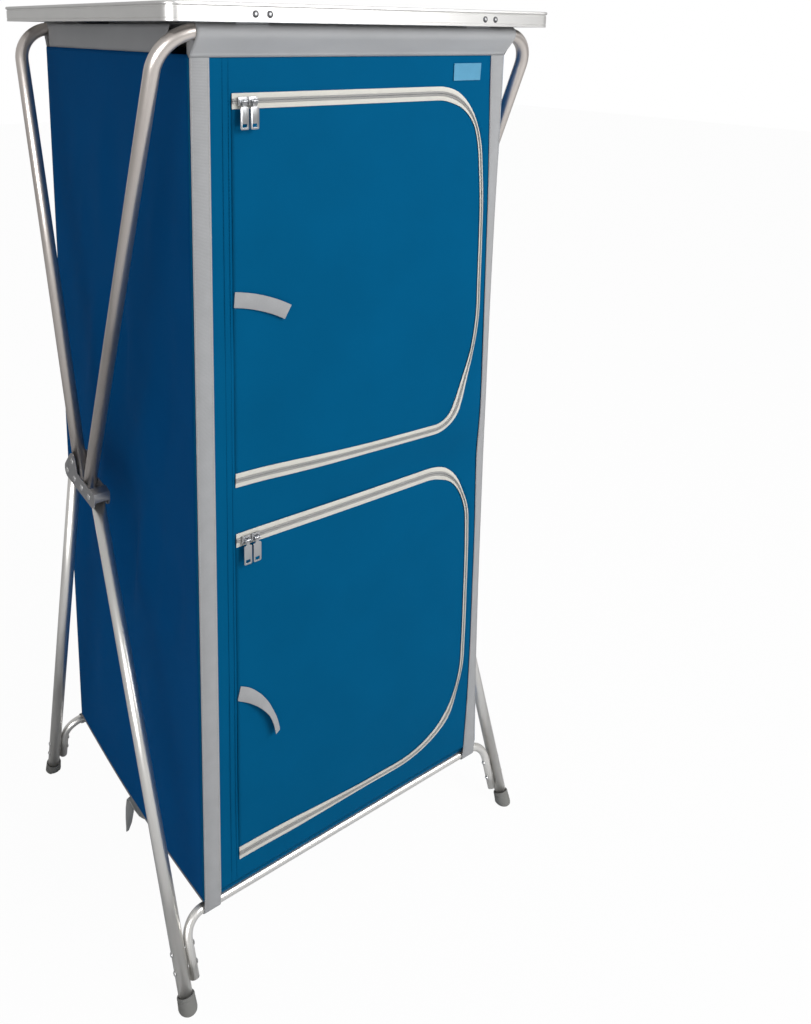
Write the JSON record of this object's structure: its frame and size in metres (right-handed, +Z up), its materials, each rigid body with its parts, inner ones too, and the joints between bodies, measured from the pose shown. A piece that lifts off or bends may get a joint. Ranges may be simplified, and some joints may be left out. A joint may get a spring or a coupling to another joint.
{
  "type": "camping kitchen cupboard",
  "caption": "Folding camp cupboard: crossed tube frame, hung cloth cabinet with zipped doors and cloth shelves, and a lift-off rectangular tabletop.",
  "frame": {"origin": "floor level under the centre of the bounding box", "axes": "+Z up, the doors face -Y, +X to the right when facing the doors from the front"},
  "size_m": [0.6152, 0.572, 1.32],
  "materials": {
    "tube": "satin drawn tube",
    "table_edge": "satin ribbed extrusion",
    "table_board": "pale laminate on fibreboard",
    "foot_cap": "matt",
    "hinge_steel": "dull zinc",
    "rivet": "bright",
    "zip_metal": "bright",
    "zip_tape": "woven",
    "label": "woven patch, bare",
    "band_cloth": "coated weave",
    "webbing": "ribbed weave",
    "blue_cloth": "coated fine weave"
  },
  "bodies": {
    "rear_frame": {"rear_upper_frame": "tube", "hinge_bracket_left": "hinge_steel", "hinge_bracket_right": "hinge_steel", "rear_leg_pivot_left": "rivet", "rear_leg_pivot_right": "rivet", "front_frame_pivot_left": "rivet", "front_frame_pivot_right": "rivet", "front_leg_pivot_left": "rivet", "front_leg_pivot_right": "rivet", "side_panel_left": "blue_cloth", "side_panel_right": "blue_cloth", "side_band_left": "band_cloth", "side_band_right": "band_cloth", "shelf_1": "blue_cloth", "shelf_2": "blue_cloth", "shelf_3": "blue_cloth", "floor_deck": "blue_cloth", "storage_strap": "webbing"},
    "front_frame": {"front_upper_frame": "tube"},
    "rear_legs": {"rear_leg_left": "tube", "rear_leg_right": "tube", "rear_crossbar": "tube", "rear_foot_cap_left": "foot_cap", "rear_foot_cap_right": "foot_cap"},
    "front_legs": {"front_leg_left": "tube", "front_leg_right": "tube", "front_crossbar": "tube", "front_foot_cap_left": "foot_cap", "front_foot_cap_right": "foot_cap"},
    "front_cloth": {"front_cover": "blue_cloth", "front_band": "band_cloth", "front_webbing_left": "webbing", "front_webbing_right": "webbing", "upper_zip_outer": "zip_tape", "lower_zip_outer": "zip_tape", "label_patch": "label"},
    "back_cloth": {"back_cover": "blue_cloth", "back_band": "band_cloth", "back_webbing_left": "webbing", "back_webbing_right": "webbing"},
    "upper_door_leaf": {"upper_door": "blue_cloth", "upper_zip_inner": "zip_tape", "upper_door_tie": "webbing"},
    "lower_door_leaf": {"lower_door": "blue_cloth", "lower_zip_inner": "zip_tape", "lower_door_tie": "webbing"},
    "tabletop": {"table_edge_rail": "table_edge", "table_board": "table_board", "front_table_clip_left": "hinge_steel", "front_table_clip_right": "hinge_steel", "rear_table_clip_left": "hinge_steel", "rear_table_clip_right": "hinge_steel"},
    "upper_left_slider": {"upper_slider_left": "zip_metal"},
    "upper_left_pull": {"upper_pull_left": "zip_metal"},
    "upper_right_slider": {"upper_slider_right": "zip_metal"},
    "upper_right_pull": {"upper_pull_right": "zip_metal"},
    "lower_left_slider": {"lower_slider_left": "zip_metal"},
    "lower_left_pull": {"lower_pull_left": "zip_metal"},
    "lower_right_slider": {"lower_slider_right": "zip_metal"},
    "lower_right_pull": {"lower_pull_right": "zip_metal"}
  },
  "joints": [
    {"name": "frame_fold", "type": "hinge", "parent": "rear_frame", "child": "front_frame", "pos_m": [0, 0.02485, 0.63767], "axis": [-1, 0, 0], "range_deg": [0, 39.28], "deforming": ["side_panel_left", "side_panel_right", "side_band_left", "side_band_right", "shelf_1", "shelf_2", "shelf_3", "floor_deck", "storage_strap", "front_webbing_left", "front_webbing_right", "back_webbing_left", "back_webbing_right"]},
    {"name": "rear_legs_fold", "type": "hinge", "parent": "rear_frame", "child": "rear_legs", "pos_m": [0, 0.08055, 0.64353], "axis": [-1, 0, 0], "range_deg": [0, 32.56]},
    {"name": "front_legs_fold", "type": "hinge", "parent": "rear_frame", "child": "front_legs", "pos_m": [0, -0.00299, 0.63475], "axis": [-1, 0, 0], "range_deg": [-5.69, 0]},
    {"name": "front_cloth_hang", "type": "hinge", "parent": "front_frame", "child": "front_cloth", "pos_m": [0, -0.252, 1.288], "axis": [-1, 0, 0], "range_deg": [-22.48, 0]},
    {"name": "back_cloth_hang", "type": "hinge", "parent": "rear_frame", "child": "back_cloth", "pos_m": [0, 0.241, 1.288], "axis": [-1, 0, 0], "range_deg": [0, 15.64]},
    {"name": "tabletop_lift", "type": "slide", "parent": "rear_frame", "child": "tabletop", "axis": [0, 0, 1], "range_m": [0, 0.345]},
    {"name": "upper_door_swing", "type": "hinge", "parent": "front_cloth", "child": "upper_door_leaf", "pos_m": [-0.197, -0.23843, 1.206], "axis": [0, 0.0105, -0.9999], "range_deg": [0, 100]},
    {"name": "upper_left_slider_run", "type": "slide", "parent": "upper_door_leaf", "child": "upper_left_slider", "axis": [1, 0, 0], "range_m": [0, 0.28]},
    {"name": "upper_left_pull_flip", "type": "hinge", "parent": "upper_left_slider", "child": "upper_left_pull", "pos_m": [-0.18375, -0.24703, 1.206], "axis": [-1, 0, 0], "range_deg": [0, 120]},
    {"name": "upper_right_slider_run", "type": "slide", "parent": "upper_door_leaf", "child": "upper_right_slider", "axis": [1, 0, 0], "range_m": [0, 0.28]},
    {"name": "upper_right_pull_flip", "type": "hinge", "parent": "upper_right_slider", "child": "upper_right_pull", "pos_m": [-0.16975, -0.24703, 1.206], "axis": [-1, 0, 0], "range_deg": [0, 120]},
    {"name": "lower_door_swing", "type": "hinge", "parent": "front_cloth", "child": "lower_door_leaf", "pos_m": [-0.197, -0.23245, 0.636], "axis": [0, 0.0105, -0.9999], "range_deg": [0, 100]},
    {"name": "lower_left_slider_run", "type": "slide", "parent": "lower_door_leaf", "child": "lower_left_slider", "axis": [1, 0, 0], "range_m": [0, 0.28]},
    {"name": "lower_left_pull_flip", "type": "hinge", "parent": "lower_left_slider", "child": "lower_left_pull", "pos_m": [-0.18375, -0.24105, 0.636], "axis": [-1, 0, 0], "range_deg": [0, 120]},
    {"name": "lower_right_slider_run", "type": "slide", "parent": "lower_door_leaf", "child": "lower_right_slider", "axis": [1, 0, 0], "range_m": [0, 0.28]},
    {"name": "lower_right_pull_flip", "type": "hinge", "parent": "lower_right_slider", "child": "lower_right_pull", "pos_m": [-0.16975, -0.24105, 0.636], "axis": [-1, 0, 0], "range_deg": [0, 120]}
  ],
  "couplings": [
    {"joint": "rear_legs_fold", "follows": "frame_fold", "ratio": 0.8285},
    {"joint": "front_legs_fold", "follows": "frame_fold", "ratio": -0.1444},
    {"joint": "front_cloth_hang", "follows": "frame_fold", "ratio": -0.5718},
    {"joint": "back_cloth_hang", "follows": "frame_fold", "ratio": 0.3976},
    {"joint": "tabletop_lift", "follows": "frame_fold", "m_per_rad": 0.5},
    {"joint": "upper_left_slider_run", "follows": "upper_right_slider_run", "ratio": 1},
    {"joint": "lower_left_slider_run", "follows": "lower_right_slider_run", "ratio": 1}
  ]
}
